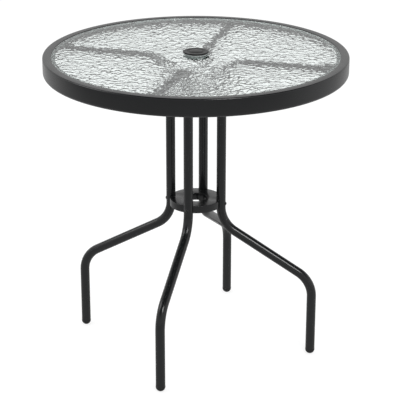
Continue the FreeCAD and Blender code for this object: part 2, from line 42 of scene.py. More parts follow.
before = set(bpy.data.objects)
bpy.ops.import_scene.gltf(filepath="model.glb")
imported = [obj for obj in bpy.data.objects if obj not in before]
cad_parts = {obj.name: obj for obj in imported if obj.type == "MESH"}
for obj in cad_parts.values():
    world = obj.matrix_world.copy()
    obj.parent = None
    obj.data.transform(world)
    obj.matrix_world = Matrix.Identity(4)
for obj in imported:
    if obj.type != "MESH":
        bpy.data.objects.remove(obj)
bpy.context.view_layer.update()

SIDES = ("right", "back", "left", "front")
QUARTER = math.pi / 2
UP = Vector((0, 0, 1))
MIDDLE = (0, 0, 0)
WELD = 1e-6              # points closer than this are one point

# How finely the pieces are drawn
RIPPLE_GRID = 296        # squares along a side of the grid that the glass is drawn from
RIM_STEPS = 256          # round the rim and the strip
COLLAR_STEPS = 96        # round the collar, its rings and its cap
STOP_STEPS = 40          # round the feet and the arm plugs
DOME_STEPS = 12          # from a foot's flat up to its side
TUBE_SIDES = 40
BEND_STEPS = 20          # in each bend between foot, slope and column
ELBOW_STEPS = 28         # in the bend between column and arm
BOLT_STEPS = 24          # round a bolt
HEAD_STEPS = 6           # up its head
KEY_SIDES = 6

# Small lengths in metres, shares and roundings, piece by piece
CUT_EDGE = 0.3           # rounding of a sheet's cut edge, as a share of its thickness
STRIP_HEEL = 0.5         # rounding of the strip's outer corner, as a share of its wall
STRIP_LIP = 0.35         # rounding of its upper edges, likewise

PANE_HOLE_PLAY = 0.001   # between the glass's hole and the collar's sleeve
PANE_CORE = 0.08         # half the square left out of the grid's middle, as a share of the grid
PLAIN_EDGE = 0.0003      # border along the glass's edges that has no ripples
RIPPLE_FADE = 0.0018     # width over which they reach their full depth behind that border
FURROW_LIMIT = 2.4       # greatest depth of a furrow, in ripple depths
DRIFT_PITCH = 0.6        # how fast the drift of the pebbles varies, per cell
DRIFT_REACH = 0.35       # how far it carries them, in cells

SEAT_DEPTH = 0.0022      # from the flange's top down to the seat of the cap's head
HEAD_PLAY = 0.0003       # round the cap's head
SOCKET_PLAY = 0.0005     # by which the cap's socket is wider than the pole's bore
SOCKET_ROOM = 0.001      # below the cap's plug
THREAD_PLAY = 0.0001     # between the sleeve and the rings round it
FLANGE_ROUND = 0.0016
WASHER_ROUND = 0.0012
SLEEVE_ROUND = 0.0010
FLANGE_EASE = 0.0005     # the flange's lower edge and the bore's
SEAT_EASE = 0.0004       # round the recess that the cap's head lies in
EASE = 0.0003            # most other moulded edges
FINE_EASE = 0.0002       # the finest ones
GRIPS = 8                # finger grips round the lock ring
LOCK_ROUND = 0.0008      # the lock ring's upper edge

CAP_CROWN = 0.0006       # how far the head's middle stands above its edge
CAP_EDGE = 0.0021        # height of the head's edge
CAP_ROUND = 0.0006       # the head's upper edge and the plug's lower one
CAP_TOP = 0.0022         # thickness of the head's middle
CAP_WALL = 0.0016        # thickness of the plug's wall
PLUG_GROWTH = 0.0002     # by which the plug is wider than the pole's bore
GROOVE_START = 0.80      # inner edge of the head's groove, as a share of its radius
GROOVE_DROPS = (0.64, 0.8)       # shares of the crown lost at the groove's two edges
GROOVE_SIDE = 0.0004     # width of each of its slanted sides
GROOVE_FLOOR = 0.0006    # width of its floor
GROOVE_DEPTH = 0.0006

PLATE_ROUND = 0.001      # the ring plate's upper edges

FOOT_FLAT = 0.004        # radius of the flat that a foot stands on
FOOT_RISE = 0.010        # height at which its dome has the foot's full width
FOOT_BEVEL = (0.0003, 0.0004)    # width and height of its bevel at the tube's mouth
PLUG_INSET = 0.0013      # from the tube's outside to a plug in it: its wall and the play
PLUG_BEVEL = 0.001       # of a plug's inner end
ARM_PLUG_ROUND = 0.0009  # of an arm plug's outer end

NUT_HEIGHT = 0.004
SHANK_SHOWS = 0.0015     # how far a ring bolt comes out of its nut
TIP_BEVEL = 0.3          # bevel of a shank's tip, as a share of its radius
KEY_LAND = 1.12          # flat round a bolt's key, over the radius of the key's corners
RING_BOLT = dict(head=0.0043, crown=0.0024, key_flats=0.003, key_depth=0.0013, shank=0.0025)
RIM_BOLT = dict(head=0.0054, crown=0.0033, key_flats=0.004, key_depth=0.0019, shank=0.003)

# What the finishes are mixed from
PORE_SIZE = 0.35         # a pore's size, as a share of a lump's
CLOUD_SHARE = 0.7        # of the colour's drift, of which the pores have the rest
LUMP_SHARE = 0.8         # of the relief, of which the pores have the rest
CLOUD_ROUGHNESS = 0.14   # from the clearest to the cloudiest spot
LUMP_ROUGHNESS = 0.08    # from a hollow to the top of a lump
FILM_ROUGHNESS = 0.05    # of the glass where the film on it is thickest
GLASS_SHADOW = 0.94      # share of the lamps' light that the glass lets through
HAZE_ROUGHNESS = 0.2     # of the clear plastic at its clearest, and what the haze adds

# The stage: glow and light levels where 1 is white, lengths in metres, lamps in watts
FLOOR_HALF = 12.0
FLOOR_SQUARES = 8
FLOOR_DROP = 0.0001      # keeps the floor clear of the feet
FLOOR_GREY = 0.34
FLOOR_SEEN = 0.74        # glow that makes the lit floor white to the camera
FLOOR_THROUGH = 0.54     # glow behind the glass
# glow in mirroring pieces, from the floor in front of the table to the floor behind it
FLOOR_MIRRORED = {"From Min": -1.5, "From Max": 1.0, "To Min": 0.05, "To Max": 0.3}
ROOM_BY_HEIGHT = [(0.0, 1.0), (0.70, 1.0), (0.86, 0.0)]  # dark overhead
ROOM_BY_DEPTH = [(0.10, 0.7), (0.62, 1.0)]       # lighter behind the table
ROOM_LEVEL = 0.68        # the brightest that mirroring and clear pieces see, above the least
ROOM_LEAST = 0.08
ROOM_SOFT = 0.85         # what matt surfaces get from the room
# name, place, width and power of each
LAMPS = (("key", (1.5, -1.7, 2.7), 0.9, 26.0),
         ("fill", (-2.2, -0.6, 2.4), 1.4, 16.0))
LAMP_AIM = (0, 0, 0.4)

# The photograph's viewpoint, from a fit of the rim, tubes, feet and ring plate
CAMERA_REACH = 3.4135
CAMERA_HEIGHT = 1.6759
CAMERA_TURN = math.radians(16.436)
CAMERA_TILT = math.radians(21.063)
CAMERA_LENS = 138.997    # millimetres, as is the sensor's width
CAMERA_SENSOR = 36.0
CAMERA_SHIFT = 0.01027
CAMERA_FAR = 100.0       # nothing farther off is drawn


def length(name, default, description):
    return FloatProperty(name=name, default=default, description=description,
                         min=0.0, precision=5, subtype="DISTANCE", unit="LENGTH")


def colour(name, default, description):
    return FloatVectorProperty(name=name, default=default, description=description,
                               size=3, min=0.0, max=1.0, subtype="COLOR")


class TableSizes(bpy.types.PropertyGroup):
    """Lengths that the CAD boxes don't give."""
    rim_sheet: length("Rim sheet", 0.0012, "Thickness of the rim's sheet")
    rim_face: length("Rim face", 0.020, "Width of the rim's level top face")
    rim_lip: length("Rim lip", 0.012, "Width of the lip rolled in at the rim's bottom")
    rim_ledge: length("Rim ledge", 0.009, "Width of the ledge that carries the glass")
    rim_top_round: length("Rim top rounding", 0.003, "Radius between top face and skirt")
    rim_bottom_round: length("Rim bottom rounding", 0.0078, "Radius between skirt and lip")
    rim_inner_round: length("Rim inner rounding", 0.002, "Radius at the glass side")
    ripple_cell: length("Ripple cell", 0.0086, "Distance between the glass's pebbles")
    ripple_depth: length("Ripple depth", 0.00098, "Depth of a furrow midway between two")
    glass_arris: length("Glass arris", 0.0008, "Bevel along the glass's edges")
    strip_wall: length("Strip wall", 0.001, "Thickness of the strip round the glass")
    strip_foot: length("Strip foot", 0.008, "Width of the strip under the glass")
    upper_knee: length("Upper knee", 0.3122, "Height where slope and column would meet")
    lower_knee: length("Lower knee", 0.1873, "Height where foot and slope would meet")
    bend: length("Bend radius", 0.066, "Centreline radius of the tube's bends")
    bore: length("Pole bore", 0.018, "Radius of the collar's guide bore")
    sleeve: length("Sleeve", 0.023, "Radius of the collar's sleeve")
    lock_ring: length("Lock ring", 0.0275, "Radius of the lock ring")
    ring_sheet: length("Ring plate sheet", 0.0015, "Thickness of the ring plate")
    ring_bore: length("Ring plate bore", 0.0265, "Radius of the ring plate's hole")
    ring_inset: length("Ring plate inset", 0.0002,
                       "From the columns' centres to the plate's edge")
    ring_gap: length("Ring plate gap", 0.00015, "Between the plate's recesses and the columns")
    grip: length("Grip", 0.003, "Radius of the lock ring's finger grips")
    grip_setback: length("Grip setback", 0.0008,
                         "From the lock ring's edge to the grips' centres")
    ripple_seed: IntProperty(name="Ripple seed", default=7, min=1,
                             description="Picks the pebbles' layout")


class TableColours(bpy.types.PropertyGroup):
    """Finishes of the table's pieces, as linear colours."""
    coat: colour("Powder coat", (0.0042, 0.0049, 0.0057), "Rim, legs, ring plate and brackets")
    glass: colour("Glass", (0.870, 0.925, 0.911), "Tint of the glass")
    strip: colour("Strip", (0.34, 0.362, 0.357), "Pale strip round the glass")
    moulding: colour("Moulding", (0.0034, 0.0036, 0.0038), "Collar and cap")
    foot: colour("Foot", (0.0075, 0.0078, 0.008), "Feet and arm plugs")
    washer: colour("Clear moulding", (0.46, 0.485, 0.48),
                   "Washer under the flange and lock ring")
    bolt: colour("Bolt", (0.016, 0.016, 0.017), "Blackened bolts")
    zinc: colour("Zinc", (0.52, 0.53, 0.54), "Plated nuts")


# Shaders

class Wire:
    """A value in a node tree. A sum or product written with it adds a Math node."""

    def __init__(self, paint, socket):
        self.paint = paint
        self.socket = socket

    def maths(self, operation, other):
        return self.paint.node("Math", {"operation": operation}, {0: self, 1: other})

    def __add__(self, other):
        return self.maths("ADD", other)

    def __mul__(self, other):
        return self.maths("MULTIPLY", other)

    __radd__ = __add__
    __rmul__ = __mul__


class Paint:
    """The node tree of a material or world, emptied and filled node by node."""

    def __init__(self, owner):
        owner.use_nodes = True
        self.tree = owner.node_tree
        self.tree.nodes.clear()

    def node(self, kind, settings=None, sockets=None, give=0):
        """Add a node: its settings first, then its sockets, by name or number.

        give says which output comes back, or is a tuple of several."""
        made = self.tree.nodes.new(f"ShaderNode{kind}")
        for name, setting in (settings or {}).items():
            if name == "stops":
                while len(made.color_ramp.elements) < len(setting):
                    made.color_ramp.elements.new(1.0)
                for element, (place, level) in zip(made.color_ramp.elements, setting):
                    element.position = place
                    element.color = grey(level)
            else:
                setattr(made, name, setting)
        for name, value in (sockets or {}).items():
            if isinstance(value, Wire):
                self.tree.links.new(value.socket, made.inputs[name])
            else:
                made.inputs[name].default_value = value
        if not made.outputs:
            return None
        if isinstance(give, tuple):
            return [Wire(self, made.outputs[name]) for name in give]
        return Wire(self, made.outputs[give])

    def place(self):
        return self.node("TexCoord", give="Object")

    def noise(self, place, size, detail=2.0, rough=0.5):
        """Cloudy noise about 0.5 whose lumps are about size metres across."""
        return self.node("TexNoise", sockets={"Vector": place, "Scale": 1.0 / size,
                                              "Detail": detail, "Roughness": rough}, give="Fac")

    def blend(self, share, first, second):
        """Colour first where share is 0 and second where it is 1."""
        return self.node("Mix", {"data_type": "RGBA"}, {0: share, 6: first, 7: second}, 2)

    def bump(self, height, depth):
        return self.node("Bump", sockets={"Height": height, "Distance": depth})


def grey(level):
    return (level, level, level, 1.0)


def tint(base, gain):
    """A colour made lighter or darker, with the alpha that a socket wants."""
    return tuple(min(1.0, channel * gain) for channel in base) + (1.0,)


def skin(name, base, rough, grain, depth, swing=0.25, level=0.5, metal=0.0, mottle=0.05):
    """A fine-grained surface: powder coat, moulded plastic, soft strip or plating.

    grain is the size of its lumps, depth their height and mottle the size of its clouds,
    all in metres. swing is how much the clouds change the colour."""
    material = bpy.data.materials.new(name)
    paint = Paint(material)
    place = paint.place()
    lumps = paint.noise(place, grain, detail=3.0, rough=0.55)
    pores = paint.noise(place, grain * PORE_SIZE, detail=1.0)
    clouds = paint.noise(place, mottle, detail=4.0, rough=0.6)
    share = clouds * CLOUD_SHARE + pores * (1 - CLOUD_SHARE)
    smoothest = rough - (CLOUD_ROUGHNESS + LUMP_ROUGHNESS) / 2
    relief = lumps * LUMP_SHARE + pores * (1 - LUMP_SHARE)
    shader = paint.node("BsdfPrincipled", sockets={
        "Base Color": paint.blend(share, tint(base, 1 - swing), tint(base, 1 + swing)),
        "Roughness": clouds * CLOUD_ROUGHNESS + lumps * LUMP_ROUGHNESS + smoothest,
        "Metallic": metal,
        "Specular IOR Level": level,
        "Normal": paint.bump(relief, depth),
    })
    paint.node("OutputMaterial", sockets={"Surface": shader})
    return material


def rippled_glass(base):
    """Clear glass with a faint grain, which lets the lamps' light through."""
    material = bpy.data.materials.new("rippled_glass")
    paint = Paint(material)
    place = paint.place()
    grain = paint.noise(place, size=0.0024)
    film = paint.noise(place, size=0.06, detail=3.0)
    shader = paint.node("BsdfPrincipled", sockets={
        "Base Color": tint(base, 1.0),
        "Roughness": film * FILM_ROUGHNESS,
        "IOR": 1.52,
        "Transmission Weight": 1.0,
        "Normal": paint.bump(grain, depth=0.00003),
    })
    shadow = paint.node("LightPath", give="Is Shadow Ray")
    clear = paint.node("BsdfTransparent", sockets={"Color": tint(base, GLASS_SHADOW)})
    mixed = paint.node("MixShader", sockets={0: shadow, 1: shader, 2: clear})
    paint.node("OutputMaterial", sockets={"Surface": mixed})
    return material


def clear_plastic(base):
    """Soft clear plastic, a little cloudy."""
    material = bpy.data.materials.new("clear_plastic")
    paint = Paint(material)
    haze = paint.noise(paint.place(), size=0.004, detail=3.0)
    shader = paint.node("BsdfPrincipled", sockets={
        "Base Color": paint.blend(haze, tint(base, 0.9), tint(base, 1.05)),
        "Roughness": haze * HAZE_ROUGHNESS + HAZE_ROUGHNESS,
        "IOR": 1.3,
        "Transmission Weight": 0.15,
        "Normal": paint.bump(haze, depth=0.0001),
    })
    paint.node("OutputMaterial", sockets={"Surface": shader})
    return material


# The fine-grained finishes: the colour each takes, and what skin() is given
SKINS = {
    "satin_coat": ("coat", dict(rough=0.24, grain=0.0016, depth=0.00002, level=0.62)),
    "soft_strip": ("strip", dict(rough=0.5, grain=0.0009, depth=0.00003)),
    "moulding": ("moulding", dict(rough=0.34, grain=0.0007, depth=0.00003, level=0.34,
                                  mottle=0.02)),
    "foot_plastic": ("foot", dict(rough=0.5, grain=0.0008, depth=0.00004, mottle=0.01)),
    "black_bolt": ("bolt", dict(rough=0.34, grain=0.0004, depth=0.00002, mottle=0.003)),
    "zinc": ("zinc", dict(rough=0.36, grain=0.0005, depth=0.00002, swing=0.18, metal=1.0,
                          mottle=0.004)),
}
FINISHES = {}            # the materials made so far, which like pieces share


def finish_of(kind):
    """The material of a kind of piece, made when it is first asked for."""
    if kind not in FINISHES:
        tones = bpy.context.scene.table_colours
        if kind == "rippled_glass":
            FINISHES[kind] = rippled_glass(tones.glass)
        elif kind == "clear_plastic":
            FINISHES[kind] = clear_plastic(tones.washer)
        else:
            tone, grade = SKINS[kind]
            FINISHES[kind] = skin(kind, getattr(tones, tone), **grade)
    return FINISHES[kind]


# Shapes

def corners_in(made):
    """The corners among what an operator made."""
    return [item for item in made if isinstance(item, bmesh.types.BMVert)]


def edges_in(made):
    """The edges among what an operator made."""
    return [item for item in made if isinstance(item, bmesh.types.BMEdge)]


def open_edges(mesh):
    """The edges that border one face only."""
    return [edge for edge in mesh.edges if edge.is_boundary]


def sweep(mesh, geometry, centre, axis, angle, steps, merge=False, copies=False):
    """Turn geometry round an axis in steps, and give what the last step made."""
    return bmesh.ops.spin(mesh, geom=geometry, cent=centre, axis=axis, dvec=(0, 0, 0),
                          angle=angle, steps=steps, use_merge=merge,
                          use_duplicate=copies)["geom_last"]


def extrude(mesh, edges, move):
    """Extrude edges, move the new ones and give their corners."""
    corners = corners_in(bmesh.ops.extrude_edge_only(mesh, edges=edges)["geom"])
    bmesh.ops.translate(mesh, verts=corners, vec=move)
    return corners


def fill_level(mesh, edges, normal):
    """Fill level outlines with triangles, and leave the holes inside them open."""
    bmesh.ops.triangle_fill(mesh, use_beauty=True, use_dissolve=False, edges=edges,
                            normal=normal)


def turn_all(mesh, angle, axis):
    bmesh.ops.rotate(mesh, verts=mesh.verts, cent=MIDDLE,
                     matrix=Matrix.Rotation(angle, 3, axis))


def move_all(mesh, move):
    bmesh.ops.translate(mesh, verts=mesh.verts, vec=move)


class Profile:
    """An outline in the XZ plane, drawn corner by corner, then spun round the Z axis."""

    def __init__(self):
        self.mesh = bmesh.new()
        self.first = self.last = None
        self.rounded = []

    def to(self, across, up, rounding=0.0, steps=5):
        if self.last is None:
            point = self.first = self.mesh.verts.new((across, 0, up))
        else:
            point = bmesh.ops.extrude_vert_indiv(self.mesh, verts=[self.last])["verts"][0]
            point.co = (across, 0, up)
        self.last = point
        if rounding:
            self.rounded.append((point, rounding, steps))
        return self

    def swing(self, up, angle, steps):
        """Carry the last point round a centre on the axis at this height."""
        made = sweep(self.mesh, [self.last], (0, 0, up), (0, 1, 0), angle, steps)
        self.last = corners_in(made)[0]
        return self

    def close(self):
        self.mesh.edges.new((self.last, self.first))
        return self

    def spun(self, steps):
        """Round the corners, spin the outline and give the mesh."""
        for point, rounding, arc_steps in self.rounded:
            one, two = (edge.other_vert(point).co - point.co for edge in point.link_edges)
            setback = rounding / math.tan(one.angle(two) / 2)
            bmesh.ops.bevel(self.mesh, geom=[point], offset=setback, affect="VERTICES",
                            segments=arc_steps, profile=0.5, material=-1)
        sweep(self.mesh, self.mesh.verts[:] + self.mesh.edges[:], MIDDLE, UP, 2 * math.pi,
              steps, merge=True)
        return self.mesh


class Tube:
    """A round tube drawn in the XZ plane as a bender makes it: feed, bend, feed."""

    def __init__(self, start, radius, sides):
        self.mesh = bmesh.new()
        self.point = Vector(start)
        self.heading = UP.copy()
        bmesh.ops.create_circle(self.mesh, cap_ends=False, radius=radius, segments=sides)
        move_all(self.mesh, self.point)
        self.mouth = self.mesh.edges[:]

    def feed(self, run, steps):
        for _ in range(steps):
            made = bmesh.ops.extrude_edge_only(self.mesh, edges=self.mouth)["geom"]
            self.mouth = edges_in(made)
            bmesh.ops.translate(self.mesh, verts=corners_in(made),
                                vec=self.heading * (run / steps))
        self.point += self.heading * run

    def bend(self, angle, radius, steps):
        """A positive angle turns the tube away from the table's axis."""
        way = math.copysign(1.0, angle)
        outward = Vector((self.heading.z, 0, -self.heading.x)) * way
        centre = self.point + outward * radius
        corners = list(dict.fromkeys(corner for edge in self.mouth for corner in edge.verts))
        self.mouth = edges_in(sweep(self.mesh, corners + self.mouth, centre, (0, way, 0),
                                    abs(angle), steps))
        turn = Matrix.Rotation(angle, 3, "Y")
        self.point = centre + turn @ (self.point - centre)
        self.heading = turn @ self.heading

    def capped(self):
        """Close both ends and give the mesh."""
        bmesh.ops.holes_fill(self.mesh, edges=open_edges(self.mesh), sides=0)
        return self.mesh


def notched_disc(outer, bore, notch, notch_reach, count, arc_steps, notch_steps):
    """A flat disc at z = 0 with a bore and round notches in its edge, one on +X."""
    mesh = bmesh.new()
    share = 2 * math.pi / count
    half = math.acos((outer**2 + notch_reach**2 - notch**2) / (2 * outer * notch_reach))
    start = Vector((outer * math.cos(half), outer * math.sin(half), 0))
    made = sweep(mesh, [mesh.verts.new(start)], MIDDLE, UP, share - 2 * half, arc_steps)
    centre = Matrix.Rotation(share, 3, "Z") @ Vector((notch_reach, 0, 0))
    lean = abs(math.atan2(start.y, start.x - notch_reach))
    sweep(mesh, corners_in(made), centre, UP, -2 * (math.pi - lean), notch_steps)
    sweep(mesh, mesh.verts[:] + mesh.edges[:], MIDDLE, UP, share * (count - 1), count - 1,
          copies=True)
    bmesh.ops.remove_doubles(mesh, verts=mesh.verts, dist=WELD)
    bmesh.ops.create_circle(mesh, cap_ends=False, radius=bore, segments=COLLAR_STEPS)
    fill_level(mesh, mesh.edges[:], UP)
    for face in mesh.faces:
        if face.normal.z < 0:
            face.normal_flip()
    return mesh


def round_over(mesh, radius, steps):
    """Round the border of a flat mesh over, by insets that each rise a little."""
    faces = mesh.faces[:]
    for step in range(steps):
        low, high = (QUARTER * place / steps for place in (step, step + 1))
        bmesh.ops.inset_region(mesh, faces=faces, use_boundary=True, use_even_offset=True,
                               thickness=radius * (math.cos(low) - math.cos(high)),
                               depth=radius * (math.sin(high) - math.sin(low)))


def drop_walls(mesh, depth):
    """Extrude the open edges straight down."""
    extrude(mesh, open_edges(mesh), UP * -depth)


def bolt_mesh(head, crown, key_flats, key_depth, shank, run):
    """A round-headed bolt along Z: its head stands on z = 0 and its shank hangs below.

    head and shank are radii, crown is the head's height, and key_flats and key_depth
    are the width across flats and the depth of the socket for its key."""
    ball = (head**2 + crown**2) / (2 * crown)
    key_corner = key_flats / math.sqrt(3)
    base_angle = math.asin(head / ball)
    land_angle = math.asin(key_corner * KEY_LAND / ball)
    bevel = shank * TIP_BEVEL
    dome = Profile().to(shank, bevel - run).to(shank, 0).to(head, 0)
    dome.swing(crown - ball, land_angle - base_angle, HEAD_STEPS)
    mesh = dome.spun(BOLT_STEPS)
    level = max(edge.verts[0].co.z for edge in open_edges(mesh))
    land = [edge for edge in open_edges(mesh) if abs(edge.verts[0].co.z - level) < WELD]
    known = set(mesh.edges)
    bmesh.ops.create_circle(mesh, cap_ends=False, radius=key_corner, segments=KEY_SIDES,
                            matrix=Matrix.Translation((0, 0, level)))
    bmesh.ops.subdivide_edges(mesh, edges=[edge for edge in mesh.edges if edge not in known],
                              cuts=BOLT_STEPS // KEY_SIDES - 1)
    key = [edge for edge in mesh.edges if edge not in known]
    bmesh.ops.bridge_loops(mesh, edges=land + key)
    extrude(mesh, key, UP * -key_depth)
    end = [edge for edge in open_edges(mesh) if edge.verts[0].co.z < 0]
    tip = extrude(mesh, end, UP * -bevel)
    bmesh.ops.scale(mesh, verts=tip, vec=(1 - TIP_BEVEL, 1 - TIP_BEVEL, 1.0))
    bmesh.ops.holes_fill(mesh, edges=open_edges(mesh), sides=0)
    return mesh


def four_times(mesh):
    """Repeat all of a mesh on the other three legs."""
    sweep(mesh, mesh.verts[:] + mesh.edges[:] + mesh.faces[:], MIDDLE, UP, 3 * QUARTER, 3,
          copies=True)


def dress(name, mesh, finish, body, node, turn=0.0, crease=35.0):
    """Weld and check a mesh, make it a piece and hand it to its body in the node's stead."""
    if turn:
        turn_all(mesh, turn, "Z")
    bmesh.ops.remove_doubles(mesh, verts=mesh.verts, dist=WELD)
    bmesh.ops.recalc_face_normals(mesh, faces=mesh.faces)
    if any(edge.is_boundary or edge.is_wire for edge in mesh.edges):
        raise RuntimeError(f"{name} has open edges")
    data = bpy.data.meshes.new(name)
    mesh.to_mesh(data)
    mesh.free()
    data.shade_smooth()
    data.set_sharp_from_angle(angle=math.radians(crease))
    data.materials.append(finish_of(finish))
    piece = bpy.data.objects.new(name, data)
    bpy.context.scene.collection.objects.link(piece)
    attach(piece, body)
    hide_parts(node)


# Operators, one for each piece or group of like pieces

class TABLE_OT_rim(bpy.types.Operator):
    """Roll the rim: ledge, inner leg, top face, skirt and lip in one sheet"""
    bl_idname = "table.rim"
    bl_label = "Rim"

    def execute(self, context):
        sizes = context.scene.table_sizes
        low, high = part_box("rim_frame")
        sheet, radius, top, bottom = sizes.rim_sheet, high.x, high.z, low.z
        cut = sheet * CUT_EDGE
        inner = radius - sizes.rim_face
        ledge, lip = inner - sizes.rim_ledge, radius - sizes.rim_lip
        ledge_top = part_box("glass_gasket")[0].z
        band = Profile()
        band.to(ledge, ledge_top - sheet, cut, 2)
        band.to(inner + sheet, ledge_top - sheet, sizes.rim_inner_round)
        band.to(inner + sheet, top - sheet, sizes.rim_inner_round - sheet)
        band.to(radius - sheet, top - sheet, sizes.rim_top_round - sheet, 6)
        band.to(radius - sheet, bottom + sheet, sizes.rim_bottom_round - sheet, 8)
        band.to(lip, bottom + sheet, cut, 2)
        band.to(lip, bottom, cut, 2)
        band.to(radius, bottom, sizes.rim_bottom_round, 8)
        band.to(radius, top, sizes.rim_top_round, 8)
        band.to(inner, top, sizes.rim_inner_round)
        band.to(inner, ledge_top)
        band.to(ledge, ledge_top, cut, 2)
        mesh = band.close().spun(RIM_STEPS)
        dress("rim_band", mesh, "satin_coat", "table", "rim_frame", crease=50.0)
        return {"FINISHED"}


def pane_spot(x, y, core, hole, rim):
    """The radius and angle at which a point of the square grid lies on the pane.

    The grid's squares become circles: the one at core lies at the hole, the outermost,
    whose half side is 1, at the rim."""
    wide = abs(x) >= abs(y)
    lean = QUARTER / 2 * (y / x if wide else x / y)
    way = lean if wide else QUARTER - lean
    if (x if wide else y) < 0:
        way += math.pi
    reach = max(abs(x), abs(y))
    return hole + (reach - core) / (1 - core) * (rim - hole), way


def furrow(x, y, cell, seed):
    """How deep the glass's underside is cut here, in ripple depths.

    It is 0 on a pebble, 1 midway between two that are a cell apart, and more where
    several furrows meet."""
    spot = Vector((x / cell, y / cell, seed))
    spot += noise.noise_vector(spot * DRIFT_PITCH) * DRIFT_REACH
    nearest = noise.voronoi(spot)[0][0]
    return min(FURROW_LIMIT, (2 * nearest) ** 2)


class TABLE_OT_glass(bpy.types.Operator):
    """Draw the glass pane with its pebbled underside"""
    bl_idname = "table.glass"
    bl_label = "Glass"

    def execute(self, context):
        sizes = context.scene.table_sizes
        low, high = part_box("glass_top")
        arris, rim = sizes.glass_arris, high.x - sizes.glass_arris
        hole = sizes.sleeve + PANE_HOLE_PLAY + arris
        mesh = bmesh.new()
        bmesh.ops.create_grid(mesh, x_segments=RIPPLE_GRID, y_segments=RIPPLE_GRID, size=1.0)
        gone = [face for face in mesh.faces
                if max(map(abs, face.calc_center_median()[:2])) < PANE_CORE]
        bmesh.ops.delete(mesh, geom=gone, context="FACES")
        core = min(max(abs(point.co.x), abs(point.co.y)) for point in mesh.verts)
        noise.seed_set(sizes.ripple_seed)      # without it the clock picks the drift
        for point in mesh.verts:
            reach, way = pane_spot(point.co.x, point.co.y, core, hole, rim)
            x, y = reach * math.cos(way), reach * math.sin(way)
            edge = min(rim - reach, reach - hole)
            fade = min(1.0, max(0.0, (edge - PLAIN_EDGE) / RIPPLE_FADE))
            cut = furrow(x, y, sizes.ripple_cell, sizes.ripple_seed) * fade
            point.co = (x, y, low.z + sizes.ripple_depth * cut)
        side = high.z - low.z - 2 * arris
        for rise, spread in ((arris, arris), (side, 0.0), (arris, -arris)):
            for point in extrude(mesh, open_edges(mesh), UP * rise):
                away = Vector((point.co.x, point.co.y, 0))
                sign = 1.0 if away.length > rim / 2 else -1.0
                point.co += away.normalized() * (sign * spread)
        fill_level(mesh, open_edges(mesh), UP)
        dress("glass_pane", mesh, "rippled_glass", "table", "glass_top", crease=40.0)
        return {"FINISHED"}


class TABLE_OT_strip(bpy.types.Operator):
    """Lay the soft strip that holds the glass off the rim"""
    bl_idname = "table.strip"
    bl_label = "Glass strip"

    def execute(self, context):
        sizes = context.scene.table_sizes
        low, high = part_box("glass_gasket")
        wall, radius = sizes.strip_wall, high.x
        cut, heel, lip = wall * CUT_EDGE, wall * STRIP_HEEL, wall * STRIP_LIP
        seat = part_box("glass_top")[0].z
        strip = Profile()
        strip.to(radius - sizes.strip_foot, low.z, cut, 2)
        strip.to(radius, low.z, heel, 3)
        strip.to(radius, high.z, lip, 3)
        strip.to(radius - wall, high.z, lip, 3)
        strip.to(radius - wall, seat)
        strip.to(radius - sizes.strip_foot, seat, cut, 2)
        mesh = strip.close().spun(RIM_STEPS)
        dress("glass_strip", mesh, "soft_strip", "table", "glass_gasket")
        return {"FINISHED"}


class TABLE_OT_collar(bpy.types.Operator):
    """Turn the collar: flanged sleeve, clear washer and lock ring"""
    bl_idname = "table.collar"
    bl_label = "Collar"

    def execute(self, context):
        sizes = context.scene.table_sizes
        low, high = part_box("umbrella_collar")
        washer_low, washer_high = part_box("collar_washer")
        cap_low, cap_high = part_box("collar_cap")
        recess, seat = cap_high.x + HEAD_PLAY, high.z - SEAT_DEPTH
        socket, socket_floor = sizes.bore + SOCKET_PLAY, cap_low.z - SOCKET_ROOM
        sleeve = Profile()
        sleeve.to(sizes.bore, low.z, FLANGE_EASE, 2)
        sleeve.to(sizes.sleeve, low.z, SLEEVE_ROUND, 2)
        sleeve.to(sizes.sleeve, washer_high.z)
        sleeve.to(high.x, washer_high.z, FLANGE_EASE, 3)
        sleeve.to(high.x, high.z, FLANGE_ROUND)
        sleeve.to(recess, high.z, SEAT_EASE, 2)
        sleeve.to(recess, seat)
        sleeve.to(socket, seat, EASE, 2)
        sleeve.to(socket, socket_floor)
        sleeve.to(sizes.bore, socket_floor, FINE_EASE, 2)
        mesh = sleeve.close().spun(COLLAR_STEPS)
        dress("collar_sleeve", mesh, "moulding", "table", "umbrella_collar")
        inside = sizes.sleeve + THREAD_PLAY
        ring = Profile()
        ring.to(inside, washer_low.z)
        ring.to(washer_high.x, washer_low.z, WASHER_ROUND, 4)
        ring.to(washer_high.x, washer_high.z, WASHER_ROUND, 4)
        ring.to(inside, washer_high.z)
        mesh = ring.close().spun(COLLAR_STEPS)
        dress("clear_washer", mesh, "clear_plastic", "table", "collar_washer")
        low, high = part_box("collar_lock_ring")
        mesh = notched_disc(sizes.lock_ring, inside, sizes.grip,
                            sizes.lock_ring + sizes.grip_setback, GRIPS,
                            arc_steps=10, notch_steps=8)
        round_over(mesh, LOCK_ROUND, 3)
        drop_walls(mesh, high.z - low.z - LOCK_ROUND)
        fill_level(mesh, open_edges(mesh), -UP)
        move_all(mesh, (0, 0, high.z - LOCK_ROUND))
        dress("grip_ring", mesh, "clear_plastic", "table", "collar_lock_ring")
        return {"FINISHED"}


